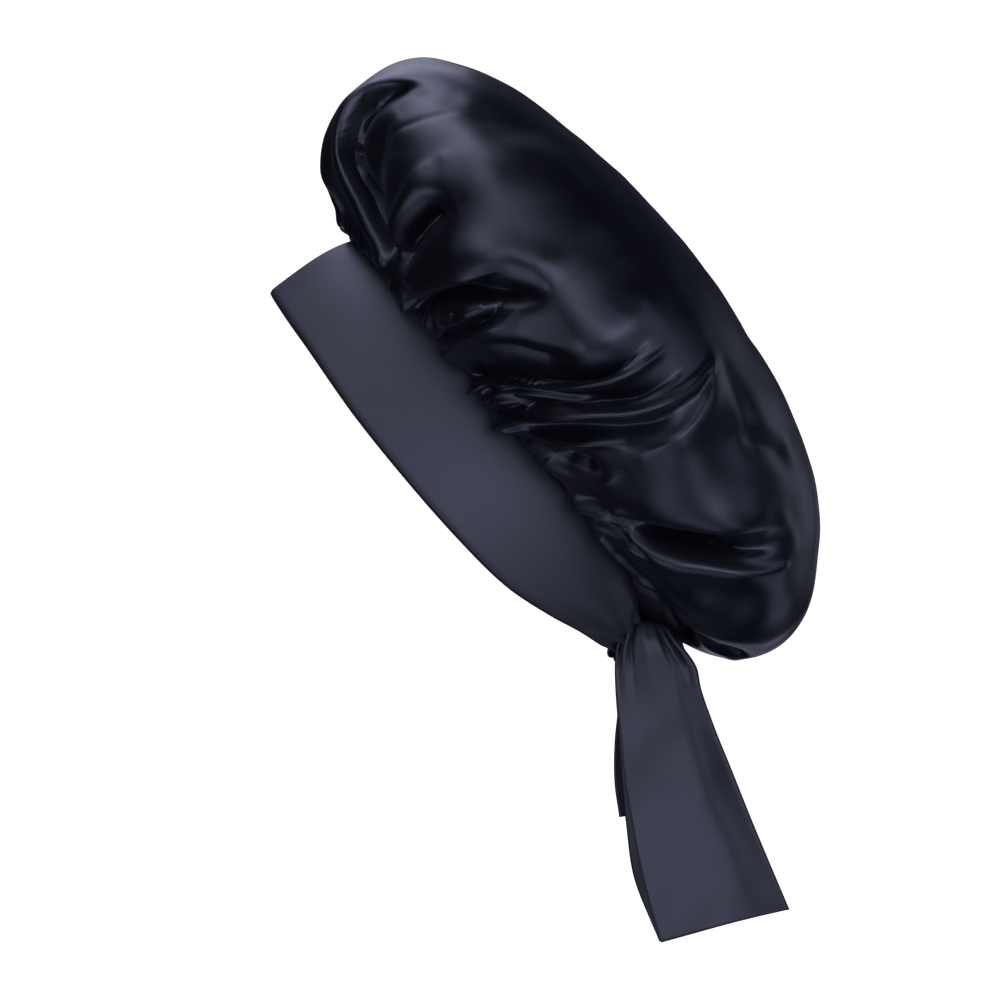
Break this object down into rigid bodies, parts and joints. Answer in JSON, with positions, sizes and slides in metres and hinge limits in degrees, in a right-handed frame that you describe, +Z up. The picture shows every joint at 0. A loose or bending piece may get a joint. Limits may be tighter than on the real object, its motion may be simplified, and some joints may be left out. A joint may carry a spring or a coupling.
{
  "type": "satin sleep bonnet with a tie band",
  "caption": "Puffed satin sleep bonnet in its worn shape, with a wide flat band from hairline to nape and knotted tails hanging at the back.",
  "frame": {"origin": "centre of the opening the head goes into, at the middle of the chord from the band's lower edge at the hairline to its lower edge at the nape", "axes": "+Z up, the wearer faces -Y, and the wearer's left is +X"},
  "size_m": [0.2363, 0.2312, 0.3694],
  "materials": {
    "crown_satin": "glossy woven satin, blue-black",
    "band_satin": "smooth woven satin, blue-black"
  },
  "bodies": {
    "root": {"crown": "crown_satin", "band": "band_satin", "knot": "band_satin", "left_tie": "band_satin", "right_tie": "band_satin"}
  },
  "joints": []
}
